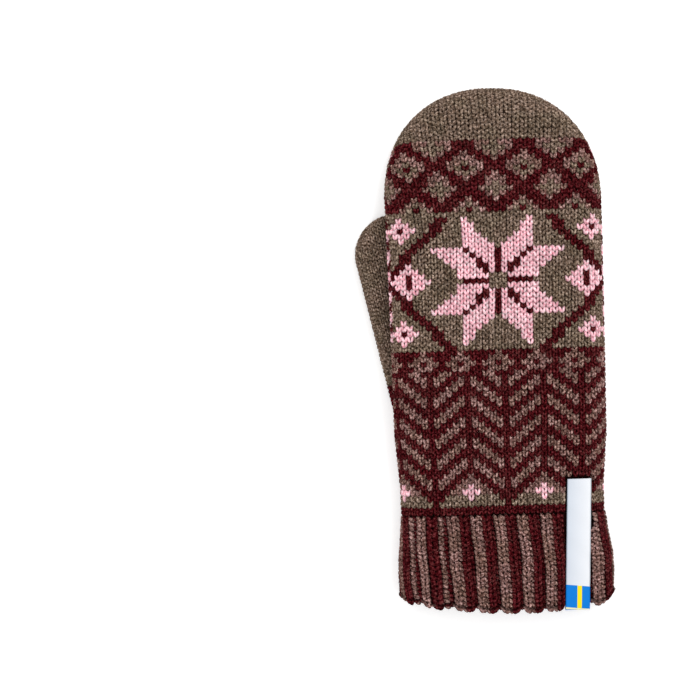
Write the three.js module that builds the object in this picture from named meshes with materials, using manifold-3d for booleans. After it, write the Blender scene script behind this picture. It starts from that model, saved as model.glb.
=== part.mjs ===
// A knitted wool mitten for the right hand, lying on its palm with the back of the hand up.
// Millimetres. X runs across the hand, Y from the hem to the fingertips, Z up.
// The thumb lies under the left edge of the hand, where the palm is lifted over it.

import * as THREE from 'three';
import { mergeVertices } from 'three/addons/utils/BufferGeometryUtils.js';
import Module from 'manifold-3d';

// Driving dimensions
const LENGTH = 268;
const WIDEST_HALF = 55.2;
const CUFF_LENGTH = 51;
const KNIT = 3.2;
const GAP = 0.3;

// The hand's half width, thickness and the extra height of its crown, by distance from the hem
const HAND_SECTIONS = [
  { y: CUFF_LENGTH + GAP, half: 51.6, thick: 22.5, crown: 1.4 },
  { y: 66, half: 51.9, thick: 22.8, crown: 1.5 },
  { y: 92, half: 54.0, thick: 23.0, crown: 1.6 },
  { y: 150, half: 54.6, thick: 23.0, crown: 1.6 },
  { y: 210, half: WIDEST_HALF, thick: 22.0, crown: 1.4 },
];
const HAND_POINTS = 56;
const HAND_STATIONS = [
  51.3, 60, 70, 84, 96, 101, 104, 107, 110, 113, 116, 119, 130, 146, 162, 178, 190, 199, 204, 209, 215,
];
const HAND_INNER_STATIONS = [51.3, 84, 101, 104, 107, 110, 113, 116, 119, 162, 199, 207, 215];
const HAND_CENTRE = -0.4;
const TIP_LEAN = 1.4;
const TIP_LEAN_START = 150;

// The fingertips, a superellipse in plan with a half-round nose in side view
const TIP_START = 210;
const TIP_POWER = 2.2;
const TIP_RINGS = 9;
const TIP_INNER_RINGS = 5;

// The thumb, a flattened tube with a half-round tip that leans away from the hand
const THUMB_THICK = 12;
const THUMB_LEAN = THREE.MathUtils.degToRad(10);
const THUMB_TIP_RADIUS = 21;
const THUMB_TIP_CENTRE = { x: -50.7, y: 184.4 };
const THUMB_ROOT_HALF = 17.2;
const THUMB_RUN = 84;
const THUMB_POINTS = 30;
const THUMB_STATIONS = [0, 8, 16, 28, 46, 64, THUMB_RUN];
const THUMB_TIP_RINGS = 7;
const THUMB_INNER_RINGS = 5;
const THUMB_HOLE_START = -3;

// The palm climbs over the thumb on a ramp at the thumb's root, and comes down past its tip
const LIFT = THUMB_THICK + 0.4;
const RAMP = { start: 104, end: 116 };
const DROP = { start: 199, end: 221 };
const SIDE_DROP = { inside: 6, run: 18 };
const BACK_RISE = { height: 3, side: -8, sideRun: 34, start: 78, startRun: 52, end: 182, endRun: 58 };

// The cuff, two knit and two purl columns to each rib
const CUFF_SECTIONS = [
  { y: 0, half: 54.4, centre: 0.6 },
  { y: 12, half: 54.8, centre: 0.6 },
  { y: 24, half: 54.6, centre: 0.6 },
  { y: 36, half: 53.3, centre: 0.2 },
  { y: CUFF_LENGTH, half: 51.9, centre: -0.3 },
];
const CUFF_THICK = 22.5;
const CUFF_CROWN = 1.4;
const CUFF_WALL = 3.8;
const RIBS = 20;
const RIB_LEAN = 1;
const FURROW_AT = -4.8;
const FURROW_DEPTH = 1.8;
const SCALLOP = 1.4;
const RIB_PROFILE = [
  { depth: 1.0 },
  { depth: 0.25 },
  { depth: 0.0 },
  { depth: 0.08 },
  { depth: 0.0 },
  { depth: 0.25 },
];
const HEM = { lowest: 12, reach: 45, rise: 3.1, leftCorner: 2, rightCorner: 5, cornerPower: 12 };

// The label, a woven tape folded round the hem, which it gathers a little where it is sewn on
const LABEL = { x: 35.3, lean: 2.8, width: 12.3, top: 67.8, inside: 18, thick: 0.8, columns: 5 };
const GATHER = { rise: 1.6, reach: 9 };

// Straight-line reading of a table of rows at one distance from the hem
function readRow(rows, y, column) {
  const next = rows.findIndex((row) => row.y >= y);
  if (next === 0) return rows[0][column];
  if (next < 0) return rows[rows.length - 1][column];
  const before = rows[next - 1];
  const after = rows[next];
  const share = (y - before.y) / (after.y - before.y);
  return before[column] + share * (after[column] - before[column]);
}

function smooth(value) {
  const t = THREE.MathUtils.clamp(value, 0, 1);
  return t * t * (3 - 2 * t);
}

// A point of a flat-topped oval with half-round ends, by arc length from the middle of its top.
// x and z are counted from the oval's centre, and a groove is sunk square to the outline.
function ovalPoint(half, radius, distance, groove = 0) {
  const flat = half - radius;
  const arc = Math.PI * radius;
  const round = 4 * flat + 2 * arc;
  const d = ((distance % round) + round) % round;
  const reach = radius - groove;
  if (d < flat) return { x: d, z: reach };
  if (d < flat + arc) {
    const angle = (d - flat) / radius;
    return { x: flat + reach * Math.sin(angle), z: reach * Math.cos(angle) };
  }
  if (d < 3 * flat + arc) return { x: 2 * flat + arc - d, z: -reach };
  if (d < 3 * flat + 2 * arc) {
    const angle = (d - 3 * flat - arc) / radius;
    return { x: -flat - reach * Math.sin(angle), z: -reach * Math.cos(angle) };
  }
  return { x: d - round, z: reach };
}

function ovalRound(half, radius) {
  return 4 * (half - radius) + 2 * Math.PI * radius;
}

// The thumb's middle line and half width, by distance from the hem
function thumbMiddle(y) {
  return THUMB_TIP_CENTRE.x + (THUMB_TIP_CENTRE.y - y) * Math.tan(THUMB_LEAN);
}

function thumbHalf(run) {
  const share = THREE.MathUtils.clamp(run / THUMB_RUN, 0, 1);
  return THUMB_ROOT_HALF + (THUMB_TIP_RADIUS - THUMB_ROOT_HALF) * share;
}

// How much of the full lift the palm has at a place, from 0 to 1
function liftShare(x, y) {
  const run = THUMB_RUN - (THUMB_TIP_CENTRE.y - y);
  const edge = thumbMiddle(y) + thumbHalf(run);
  const across = smooth((edge + SIDE_DROP.run - SIDE_DROP.inside - x) / SIDE_DROP.run);
  const up = smooth((y - RAMP.start) / (RAMP.end - RAMP.start));
  const down = 1 - smooth((y - DROP.start) / (DROP.end - DROP.start));
  return across * up * down;
}

// How much of its full rise the back of the hand has over the thumb, from 0 to 1
function backShare(x, y) {
  const across = smooth((BACK_RISE.side - x) / BACK_RISE.sideRun);
  const up = smooth((y - BACK_RISE.start) / BACK_RISE.startRun);
  const down = 1 - smooth((y - BACK_RISE.end) / BACK_RISE.endRun);
  return across * up * down;
}

// The hand's cross-section at a distance from the hem, drawn in by an inset
function handSection(y, inset) {
  const lean = Math.max(0, (y - TIP_LEAN_START) / (LENGTH - TIP_LEAN_START));
  const along = Math.max(0, (y - TIP_START) / (LENGTH - inset - TIP_START));
  const narrowing = Math.pow(Math.max(0, 1 - Math.pow(along, TIP_POWER)), 1 / TIP_POWER);
  const fullRadius = readRow(HAND_SECTIONS, y, 'thick') / 2 - inset;
  const fromTip = Math.min(1, (LENGTH - inset - y) / fullRadius);
  const nose = Math.sqrt(Math.max(0, 1 - (1 - fromTip) ** 2));
  return {
    centre: HAND_CENTRE - TIP_LEAN * lean * lean,
    half: (readRow(HAND_SECTIONS, y, 'half') - inset) * narrowing,
    radius: fullRadius * nose,
    middle: fullRadius + inset,
    crown: readRow(HAND_SECTIONS, y, 'crown') * nose,
  };
}

// One ring of points round the hand; the floor rises over the thumb and the roof a little with it
function handRing(y, inset) {
  const section = handSection(y, inset);
  const round = ovalRound(section.half, section.radius);
  const ring = [];
  for (let i = 0; i < HAND_POINTS; i += 1) {
    const point = ovalPoint(section.half, section.radius, (i / HAND_POINTS) * round);
    const x = section.centre + point.x;
    const floor = section.middle - section.radius + LIFT * liftShare(x, y);
    const arch = section.crown * (1 - (point.x / section.half) ** 2);
    const rise = BACK_RISE.height * backShare(x, y);
    const roof = section.middle + section.radius + arch + rise;
    const height = (point.z / section.radius + 1) / 2;
    ring.push([x, y, floor + (roof - floor) * height]);
  }
  return ring;
}

function handTip(inset) {
  const section = handSection(LENGTH - inset, inset);
  return [section.centre, LENGTH - inset, section.middle];
}

// Rings from the mouth to the fingertips
function handRings(stations, tipRings, inset) {
  const rings = stations.map((y) => handRing(y, inset));
  const last = stations[stations.length - 1];
  const reach = LENGTH - inset - last;
  for (let k = 1; k < tipRings; k += 1) {
    rings.push(handRing(last + reach * Math.sin((k / tipRings) * (Math.PI / 2)), inset));
  }
  return rings;
}

// The thumb's own frame: run along its middle line, side across it
function thumbPlace(run, side, z) {
  const rootX = THUMB_TIP_CENTRE.x + THUMB_RUN * Math.sin(THUMB_LEAN);
  const rootY = THUMB_TIP_CENTRE.y - THUMB_RUN * Math.cos(THUMB_LEAN);
  return [
    rootX - run * Math.sin(THUMB_LEAN) + side * Math.cos(THUMB_LEAN),
    rootY + run * Math.cos(THUMB_LEAN) + side * Math.sin(THUMB_LEAN),
    z,
  ];
}

function thumbRing(run, inset) {
  const past = Math.max(0, run - THUMB_RUN) / (THUMB_TIP_RADIUS - inset);
  const fullRadius = THUMB_THICK / 2 - inset;
  const fromTip = Math.min(1, (THUMB_RUN + THUMB_TIP_RADIUS - inset - run) / fullRadius);
  const half = (thumbHalf(run) - inset) * Math.sqrt(Math.max(0, 1 - past ** 2));
  const radius = fullRadius * Math.sqrt(Math.max(0, 1 - (1 - fromTip) ** 2));
  const round = ovalRound(half, radius);
  const ring = [];
  for (let i = 0; i < THUMB_POINTS; i += 1) {
    const point = ovalPoint(half, radius, (i / THUMB_POINTS) * round);
    ring.push(thumbPlace(run, point.x, THUMB_THICK / 2 + point.z));
  }
  return ring;
}

function thumbRings(start, tipRings, inset) {
  const rings = [thumbRing(start, inset)];
  THUMB_STATIONS.filter((run) => run > start).forEach((run) => rings.push(thumbRing(run, inset)));
  const reach = THUMB_TIP_RADIUS - inset;
  for (let k = 1; k < tipRings; k += 1) {
    rings.push(thumbRing(THUMB_RUN + reach * Math.sin((k / tipRings) * (Math.PI / 2)), inset));
  }
  return rings;
}

function thumbTip(inset) {
  return thumbPlace(THUMB_RUN + THUMB_TIP_RADIUS - inset, 0, THUMB_THICK / 2);
}

// The hem's height above the lowest stitch: a shallow arc with rounded corners, gathered at the label
function hemRise(x) {
  const bow = HEM.rise * ((x - HEM.lowest) / HEM.reach) ** 2;
  const cornerRise = x < 0 ? HEM.leftCorner : HEM.rightCorner;
  const corner = cornerRise * Math.pow(Math.abs(x) / CUFF_SECTIONS[0].half, HEM.cornerPower);
  const gather = GATHER.rise * Math.exp(-(((x - LABEL.x) / GATHER.reach) ** 2));
  return bow + corner + gather;
}

// The smooth outside of the cuff, over its ribs
function cuffOutline(y) {
  return {
    half: readRow(CUFF_SECTIONS, y, 'half'),
    centre: readRow(CUFF_SECTIONS, y, 'centre'),
    radius: CUFF_THICK / 2,
  };
}

// One ring round the cuff: with ribs on the outside, plain on the inside
function cuffRing(y, inset, ribbed) {
  const outline = cuffOutline(y);
  const half = outline.half - inset;
  const radius = outline.radius - inset;
  const steps = RIB_PROFILE.length;
  const round = ovalRound(half, radius);
  const start = FURROW_AT - RIB_LEAN * (y / CUFF_LENGTH);
  const ring = [];
  for (let i = 0; i < RIBS * steps; i += 1) {
    const groove = ribbed ? FURROW_DEPTH * RIB_PROFILE[i % steps].depth : 0;
    const point = ovalPoint(half, radius, start + (i / (RIBS * steps)) * round, groove);
    const x = outline.centre + point.x;
    const arch = CUFF_CROWN * (1 - (point.x / outline.half) ** 2) * (point.z / outline.radius + 1) / 2;
    const tooth = ribbed ? SCALLOP * RIB_PROFILE[i % steps].depth : SCALLOP / 2;
    const rise = (hemRise(x) + tooth) * (1 - y / CUFF_LENGTH);
    ring.push([x, y + rise, outline.radius + point.z + arch]);
  }
  return ring;
}

// A skin over rings of equal count; closed joins the last ring to the first, and otherwise
// a pole closes each end. Faces point outwards when the rings run clockwise seen along their order.
function skin(rings, poles) {
  const count = rings[0].length;
  const positions = rings.flat(2);
  const faces = [];
  const bands = poles ? rings.length - 1 : rings.length;
  for (let r = 0; r < bands; r += 1) {
    const here = r * count;
    const there = ((r + 1) % rings.length) * count;
    for (let i = 0; i < count; i += 1) {
      const next = (i + 1) % count;
      faces.push(here + i, there + i, there + next);
      faces.push(here + i, there + next, here + next);
    }
  }
  if (poles) {
    const first = positions.length / 3;
    const last = first + 1;
    positions.push(...poles[0], ...poles[1]);
    const end = (rings.length - 1) * count;
    for (let i = 0; i < count; i += 1) {
      const next = (i + 1) % count;
      faces.push(first, i, next);
      faces.push(last, end + next, end + i);
    }
  }
  const geometry = new THREE.BufferGeometry();
  geometry.setAttribute('position', new THREE.Float32BufferAttribute(positions, 3));
  geometry.setIndex(faces);
  return geometry;
}

const wasm = await Module();
wasm.setup();

function solidOf(geometry) {
  const bare = geometry.clone();
  bare.deleteAttribute('normal');
  bare.deleteAttribute('uv');
  const merged = mergeVertices(bare, 1e-4);
  return new wasm.Manifold(new wasm.Mesh({
    numProp: 3,
    vertProperties: new Float32Array(merged.attributes.position.array),
    triVerts: new Uint32Array(merged.index.array),
  }));
}

function geometryOf(solid) {
  const mesh = solid.getMesh();
  const geometry = new THREE.BufferGeometry();
  geometry.setAttribute('position', new THREE.Float32BufferAttribute(mesh.vertProperties, 3));
  geometry.setIndex(Array.from(mesh.triVerts));
  return geometry;
}

// The hand: outside skin, mouth rim and inside skin in one, with the thumb's hollow cut through
function makeHand() {
  const outside = handRings(HAND_STATIONS, TIP_RINGS, 0).reverse();
  const inside = handRings(HAND_INNER_STATIONS, TIP_INNER_RINGS, KNIT);
  const shell = skin([...outside, ...inside], [handTip(0), handTip(KNIT)]);
  const hollow = skin(thumbRings(THUMB_HOLE_START, THUMB_INNER_RINGS, KNIT).reverse(), [
    thumbTip(KNIT),
    thumbPlace(THUMB_HOLE_START, 0, THUMB_THICK / 2),
  ]);
  return geometryOf(solidOf(shell).subtract(solidOf(hollow)));
}

// The thumb: a closed-ended tube, trimmed at its root to the hand's outside with a small gap
function makeThumb() {
  const outside = thumbRings(0, THUMB_TIP_RINGS, 0).reverse();
  const inside = thumbRings(0, THUMB_INNER_RINGS, KNIT);
  const shell = skin([...outside, ...inside], [thumbTip(0), thumbTip(KNIT)]);
  const mouth = handSection(HAND_STATIONS[0], -GAP);
  const hand = skin(handRings(HAND_STATIONS, TIP_RINGS, -GAP).reverse(), [
    handTip(-GAP),
    [mouth.centre, HAND_STATIONS[0], mouth.middle],
  ]);
  return geometryOf(solidOf(shell).subtract(solidOf(hand)));
}

// The cuff: ribbed outside, rounded hem, plain inside
function makeCuff() {
  const outside = [
    cuffRing(0, 1.3, true),
    cuffRing(2, 0, true),
    cuffRing(12, 0, true),
    cuffRing(24, 0, true),
    cuffRing(36, 0, true),
    cuffRing(CUFF_LENGTH, 0, true),
  ].reverse();
  const inside = [
    cuffRing(0.6, CUFF_WALL - 1.3, false),
    cuffRing(2.6, CUFF_WALL, false),
    cuffRing(24, CUFF_WALL, false),
    cuffRing(CUFF_LENGTH, CUFF_WALL, false),
  ];
  return skin([...outside, ...inside]);
}

// Height of the surface that the label lies on, at its outside or its inside
function labelSeat(x, y) {
  const half = Math.max(readRow(CUFF_SECTIONS, y, 'half'), readRow(HAND_SECTIONS, y, 'half'));
  const beyond = Math.max(0, x - (half - CUFF_THICK / 2));
  const radius = CUFF_THICK / 2;
  const fall = radius - Math.sqrt(radius ** 2 - beyond ** 2);
  const thick = y > CUFF_LENGTH ? readRow(HAND_SECTIONS, y, 'thick') : CUFF_THICK;
  const crown = y > CUFF_LENGTH ? readRow(HAND_SECTIONS, y, 'crown') : CUFF_CROWN;
  return thick - fall + crown * (1 - (x / half) ** 2);
}

// The label: two faces of a tape that runs down the cuff, round the hem and a little way inside
function makeLabel() {
  const hem = hemRise(LABEL.x);
  const near = GAP + 0.1;
  const turn = CUFF_WALL / 2 + near;
  const path = [];
  for (let y = LABEL.top; y > hem + 4; y -= 8) path.push({ y, side: 'out' });
  path.push({ y: hem + 3, side: 'out' });
  const turns = 6;
  for (let k = 0; k <= turns; k += 1) path.push({ angle: (k / turns) * Math.PI, side: 'turn' });
  path.push({ y: hem + 6, side: 'in' });
  path.push({ y: LABEL.inside, side: 'in' });
  const face = (offset) => path.map((step) => {
    const row = [];
    for (let c = 0; c < LABEL.columns; c += 1) {
      const along = Math.max(step.y ?? hem, 0);
      const x = LABEL.x + LABEL.lean * (along / LABEL.top) + LABEL.width * (c / (LABEL.columns - 1) - 0.5);
      const seat = labelSeat(x, along);
      const middle = seat - CUFF_WALL / 2;
      const reach = turn + offset;
      if (step.side === 'out') row.push([x, step.y, middle + reach]);
      if (step.side === 'in') row.push([x, step.y, middle - reach]);
      if (step.side === 'turn') {
        row.push([x, hem + 1.6 - reach * Math.sin(step.angle), middle + reach * Math.cos(step.angle)]);
      }
    }
    return row;
  });
  const under = face(0);
  const over = face(LABEL.thick);
  const rings = over.map((row, r) => [...row, ...under[r].slice().reverse()]);
  const middleOf = (ring) => ring.reduce((sum, p) => sum.map((v, k) => v + p[k] / ring.length), [0, 0, 0]);
  return skin(rings, [middleOf(rings[0]), middleOf(rings[rings.length - 1])]);
}

function piece(name, geometry, colour, roughness) {
  geometry.computeVertexNormals();
  const material = new THREE.MeshStandardMaterial({ color: colour, roughness, metalness: 0 });
  const mesh = new THREE.Mesh(geometry, material);
  mesh.name = name;
  return mesh;
}

const mitten = new THREE.Group();
mitten.add(piece('hand', makeHand(), '#5c3338', 0.95));
mitten.add(piece('thumb', makeThumb(), '#7c6a60', 0.95));
mitten.add(piece('cuff', makeCuff(), '#53212c', 0.95));
mitten.add(piece('label', makeLabel(), '#e9e9ec', 0.6));

// The origin is the middle of the mitten's footprint, on the surface it lies on
const box = new THREE.Box3().setFromObject(mitten);
mitten.position.set(-(box.min.x + box.max.x) / 2, -(box.min.y + box.max.y) / 2, -box.min.z);

export default mitten;
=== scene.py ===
# A knitted wool mitten for the right hand, lying on its palm with the back of the hand up.
# Every stitch is a pair of yarn legs laid over the knitted wall. Sizes are in millimetres, in the
# hand's own frame: x across the hand, y from the hem to the fingertips, z up from the surface.

import math

import bpy
import numpy as np
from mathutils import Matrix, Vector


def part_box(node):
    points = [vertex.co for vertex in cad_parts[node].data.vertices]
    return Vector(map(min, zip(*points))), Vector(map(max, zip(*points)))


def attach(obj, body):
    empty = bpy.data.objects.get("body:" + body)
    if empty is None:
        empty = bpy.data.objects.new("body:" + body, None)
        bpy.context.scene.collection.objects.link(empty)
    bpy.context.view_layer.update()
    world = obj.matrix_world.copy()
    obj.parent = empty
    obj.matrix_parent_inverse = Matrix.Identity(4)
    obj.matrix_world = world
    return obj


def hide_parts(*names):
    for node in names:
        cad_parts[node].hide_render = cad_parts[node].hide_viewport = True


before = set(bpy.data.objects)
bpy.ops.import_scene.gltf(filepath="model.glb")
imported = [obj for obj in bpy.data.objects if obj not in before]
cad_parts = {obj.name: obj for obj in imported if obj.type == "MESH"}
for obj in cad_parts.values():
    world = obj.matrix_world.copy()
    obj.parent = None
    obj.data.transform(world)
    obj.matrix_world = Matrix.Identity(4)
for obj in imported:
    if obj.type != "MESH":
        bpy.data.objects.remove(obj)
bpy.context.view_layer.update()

MM = 0.001
RNG = np.random.default_rng(11)

# The hand, as the frame has it
LENGTH = 268.0
CUFF_LENGTH = 51.0
KNIT = 3.2
HAND_MOUTH = 51.3
HAND_Y = [51.3, 66.0, 92.0, 150.0, 210.0]
HAND_HALF = [51.6, 51.9, 54.0, 54.6, 55.2]
HAND_THICK = [22.5, 22.8, 23.0, 23.0, 22.0]
HAND_CROWN = [1.4, 1.5, 1.6, 1.6, 1.4]
HAND_CENTRE = -0.4
TIP_START = 210.0
TIP_POWER = 2.2
TIP_LEAN = 1.4
TIP_LEAN_START = 150.0

# The thumb, a flattened tube whose middle line leans away from the hand
THUMB_THICK = 12.0
THUMB_LEAN = math.radians(10.0)
THUMB_TIP_RADIUS = 21.0
THUMB_TIP_CENTRE = (-50.7, 184.4)
THUMB_ROOT_HALF = 17.2
THUMB_RUN = 84.0

# The palm climbs over the thumb's root on a ramp, and the back rises softly over the thumb
LIFT = THUMB_THICK + 0.4
RAMP = (104.0, 116.0)
DROP = (199.0, 221.0)
SIDE_DROP_INSIDE = 6.0
SIDE_DROP_RUN = 18.0
BACK_RISE = 3.0
BACK_RISE_SIDE = -8.0
BACK_RISE_SIDE_RUN = 34.0
BACK_RISE_UP = (78.0, 130.0)
BACK_RISE_DOWN = (182.0, 240.0)

# The cuff
CUFF_Y = [0.0, 12.0, 24.0, 36.0, 51.0]
CUFF_HALF = [54.4, 54.8, 54.6, 53.3, 51.9]
CUFF_CENTRE = [0.6, 0.6, 0.6, 0.2, -0.3]
CUFF_THICK = 22.5
CUFF_CROWN = 1.4
CUFF_WALL = 3.8
RIBS = 20
RIB_LEAN = 1.4
RIB_HUDDLE = 0.055
FURROW_AT = -4.8
FURROW_DEPTH = 1.8
FURROW_WIDTH = 0.085
SHALLOW_AT = 0.46
SHALLOW_DEPTH = 0.55
SHALLOW_WIDTH = 0.07
SCALLOP = 1.9
SCALLOP_POWER = 0.8
LEFT_SPREAD = 0.55
LEFT_OUT = (1.4, 3.7)
LEFT_BACK = (5.2, 8.2)
RIGHT_SPREAD = 0.36
RIGHT_OUT = (4.2, 5.3)
RIGHT_BACK = (6.0, 9.0)
SIDE_RIBS = (16, 17)
HEM_LOWEST = 12.0
HEM_REACH = 45.0
HEM_BOW = 3.1
HEM_LEFT_CORNER = 2.0
HEM_RIGHT_CORNER = 5.0
HEM_CORNER_POWER = 12
HEM_GATHER = 1.6
HEM_GATHER_REACH = 9.0
CUFF_ROWS = 19
CUFF_FIRST_ROW = 1.3
HEM_ROW = 1.2
HEM_MARGIN = 1.2
FLOAT_ROWS = 18
FLOATS_FROM = 3.6
FLOATS_OF_OTHER_COLOUR = 0.2

# The stitches: columns across the back, counted from its middle, and rows counted from the cuff.
# The first two rows lie close, the next three are tall, and the rest are even. The middle column
# drifts a little from one side of the hand's middle line to the other.
HALF_COLUMNS = 19
HAND_ROWS = 86
SPLIT_ROW = 42
ROW = 2.6
ROW_COUNTS = [0.0, 2.0, 5.0, 95.0]
ROW_HEIGHTS = [51.3, 55.4, 64.3, 298.3]
COLUMN = 3.15
GIRTH_HOLDS_FROM = 205.0
FAN = 0.33
FAN_OVER = (185.0, LENGTH + 10.0)
DRIFT_LOW = -1.0
DRIFT_HIGH = 0.7
DRIFT_UP = (120.0, 190.0)
# Hand work strays from the grid by up to about this much
STRAY = 0.3
THUMB_ROW = 2.15
THUMB_ROWS = 54
THUMB_FIRST_ROW = 4.0
THUMB_HALF_COLUMNS = 9.5
THUMB_SHOWS_FROM = 118.0

# Where the stitches end: when their sheet has turned over the rim by this share of a quarter turn, at the
# tips, and at the sides of the upper and the lower sheet. The palm's end at the thumb's opening too, by how
# far the palm is lifted and how deep they would lie in the thumb. The thumb's end a little before the
# ramp, and where they would lie this deep in the palm.
TIP_TURN = 1.12
HAND_TURN = (1.02, 0.95)
THUMB_TURN = (1.0, 0.97)
OPENING_LIFT = (0.05, 0.97)
OPENING_MARGIN = -1.4
THUMB_BEFORE_RAMP = 1.5
THUMB_INTO_PALM = 0.8

# The yarn: how thick it lies, how far the wall lies under it, how light and dark the legs are at random,
# and how much brightness the painted shade leaves at their foot, deepest in the knitting. The loops of the
# hem and the strands inside the cuff have a width, length and thickness of their own.
YARN_DEPTH = 0.9
BACKING = 1.3
SHADE_RANGE = (0.8, 1.25)
PAINTED_SHADE_AT_FOOT = 0.12
HEM_LOOP = (3.6, 2.6, 0.9)
FLOAT_SIZE = (4.2, 3.3, 0.8)

# Loose fibres: how many to a seat, their radius, length, bend and arch, and how far from the seat they
# start
HAND_FIBRES = 0.6
THUMB_FIBRES = 0.5
CUFF_FIBRES = 3.0
FIBRE_RADIUS = 0.035
FIBRE_LENGTH = (1.4, 4.0)
FIBRE_BEND = (-0.35, 0.35)
FIBRE_ARCH = (0.1, 0.7)
FIBRE_SPREAD = 0.8

# The short steps along a sheet and round the ribs by which its directions are taken
STEP = 0.4
PHASE_STEP = 0.03

# The label: a tape that leans a little, and presses the knitting under it down
LABEL_X = 35.3
LABEL_LEAN = 2.8
LABEL_WIDTH = 12.3
LABEL_TOP = 67.8
LABEL_INSIDE = 18.0
LABEL_SEAT = 0.4
LABEL_THICK = 0.55
LABEL_TURNS_AT = 1.6
LABEL_WAVE = 0.14
LABEL_CURL = 0.16
PRESS = 1.2
PRESS_REACH = 2.6
PRESS_EASE = 2.4
TAPE_MARGIN = 0.4

# Yarn colours, by number. Taupe that is stranded with burgundy picks up its fibres and looks redder.
TAUPE, BURGUNDY, PINK, RED_TAUPE = 0, 1, 2, 3

# The rows at which the zones of the back's pattern start, of which one is a plain row and the last is
# the plain tip, and the rows of the border's middle and of the star's heart
CHEVRONS_FROM = 2
BORDER_FROM = 28
STAR_FROM = 32
PLAIN_ROW = 58
NET_FROM = 59
TIP_FROM = 73
BORDER_MIDDLE = 29
STAR_HEART = 45

# The star on the back and the diamond round it, in columns from its heart
STAR_REACH = 10.4
STAR_FRAME = 18.2

# The walls: points round each, the stretch of the hand with close rings for the thumb's hole, the part
# of the ramp that the hole takes by how far the palm is lifted there, how far it goes past the ramp, and
# where the thumb's wall starts
HAND_AROUND = 144
THUMB_AROUND = 96
HOLE_SPAN = (100.0, 120.0)
HOLE_LIFT = (0.2, 0.92)
HOLE_PAST_RAMP = 4.0
THUMB_OPEN_AT = 3.0
# The cuff's wall: points to a rib, where its straight outside and inside end above the hem, and the
# rings of the round rim between them, outside to inside
CUFF_POINTS = 12
CUFF_OUTSIDE_TO = 3.0
CUFF_INSIDE_FROM = 4.0
CUFF_RIM = [
    dict(height=1.5, inset=1.7, ribbed=0.8),
    dict(height=1.1, inset=2.4, ribbed=0.4),
    dict(height=1.8, inset=3.3, ribbed=0.0),
]

# From the hand's own frame to the row frame
OFFSET = np.array([
    (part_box("label")[0].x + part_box("label")[1].x) / 2 / MM - LABEL_X - LABEL_LEAN / 2,
    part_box("hand")[1].y / MM - LENGTH,
    0.0,
])


def smooth(value):
    """Cubic ease from 0 to 1: three t squared less two t cubed, with t held between 0 and 1."""
    t = np.clip(value, 0.0, 1.0)
    return t * t * (3.0 - 2.0 * t)


def between(value, span):
    """The cubic ease over a span: 0 before its start and 1 past its end."""
    return smooth((value - span[0]) / (span[1] - span[0]))


def unit(vectors):
    """Vectors over their own lengths."""
    return vectors / np.linalg.norm(vectors, axis=1, keepdims=True)


def counts(columns, rows):
    """Every pair of a column's and a row's number, row by row, as two flat arrays."""
    c, r = np.meshgrid(columns, rows)
    return c.ravel(), r.ravel()


def oval(half, radius, share, groove=0.0):
    """A flat-topped oval with half-round ends, by share of its length from the middle of its top.

    The straight stretches run at plus and minus the radius, the ends are half circles, and a groove
    is sunk square to the outline.
    """
    half, radius, share, groove = np.broadcast_arrays(half, radius, share, groove)
    flat = half - radius
    arc = math.pi * radius
    d = np.mod(share, 1.0) * (4.0 * flat + 2.0 * arc)
    reach = radius - groove
    right = (d - flat) / radius
    left = (d - 3.0 * flat - arc) / radius
    zones = [d < flat, d < flat + arc, d < 3.0 * flat + arc, d < 3.0 * flat + 2.0 * arc]
    x = np.select(
        zones,
        [d, flat + reach * np.sin(right), 2.0 * flat + arc - d, -flat - reach * np.sin(left)],
        d - 4.0 * flat - 2.0 * arc,
    )
    z = np.select(zones, [reach, reach * np.cos(right), -reach, -reach * np.cos(left)], reach)
    return x, z


def hand_centre(y):
    """The hand's middle line: straight, then leaning as the square of the distance towards the tip."""
    lean = np.maximum(0.0, (y - TIP_LEAN_START) / (LENGTH - TIP_LEAN_START))
    return HAND_CENTRE - TIP_LEAN * lean**2


def hand_half(y, inset=0.0):
    """The hand's half width: read from its stations, then narrowed as a superellipse at the tip."""
    along = np.clip((y - TIP_START) / (LENGTH - inset - TIP_START), 0.0, 1.0)
    return (np.interp(y, HAND_Y, HAND_HALF) - inset) * (1.0 - along**TIP_POWER) ** (1.0 / TIP_POWER)


def thumb_half(run):
    """The thumb's half width, growing evenly from its root to its tip circle."""
    share = np.clip(run / THUMB_RUN, 0.0, 1.0)
    return THUMB_ROOT_HALF + (THUMB_TIP_RADIUS - THUMB_ROOT_HALF) * share


def lift_share(x, y):
    """How far the palm is lifted over the thumb, 0 to 1: an ease across times one up and one down."""
    run = THUMB_RUN - (THUMB_TIP_CENTRE[1] - y)
    edge = THUMB_TIP_CENTRE[0] + (THUMB_TIP_CENTRE[1] - y) * math.tan(THUMB_LEAN) + thumb_half(run)
    across = smooth((edge + SIDE_DROP_RUN - SIDE_DROP_INSIDE - x) / SIDE_DROP_RUN)
    return across * between(y, RAMP) * (1.0 - between(y, DROP))


def back_share(x, y):
    """How far the back of the hand rises over the thumb, 0 to 1, made as the palm's lift is."""
    across = smooth((BACK_RISE_SIDE - x) / BACK_RISE_SIDE_RUN)
    return across * between(y, BACK_RISE_UP) * (1.0 - between(y, BACK_RISE_DOWN))


def floor_and_roof(x, y):
    """The heights of the hand's underside and top over a place: the palm's lift over the thumb, and the
    thickness with a low parabolic crown, which fades out at the tip, and the back's rise."""
    tip = np.clip((y - TIP_START) / (LENGTH - TIP_START), 0.0, 1.0)
    crown = np.interp(y, HAND_Y, HAND_CROWN) * (1.0 - (x / HAND_HALF[-1]) ** 2) * (1.0 - tip**2)
    roof = np.interp(y, HAND_Y, HAND_THICK) + np.maximum(crown, 0.0) + BACK_RISE * back_share(x, y)
    return LIFT * lift_share(x, y), roof


def label_middle(y):
    """The label's middle line, which leans evenly along its length."""
    return LABEL_X + LABEL_LEAN * np.clip(y / LABEL_TOP, 0.0, 1.0)


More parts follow.
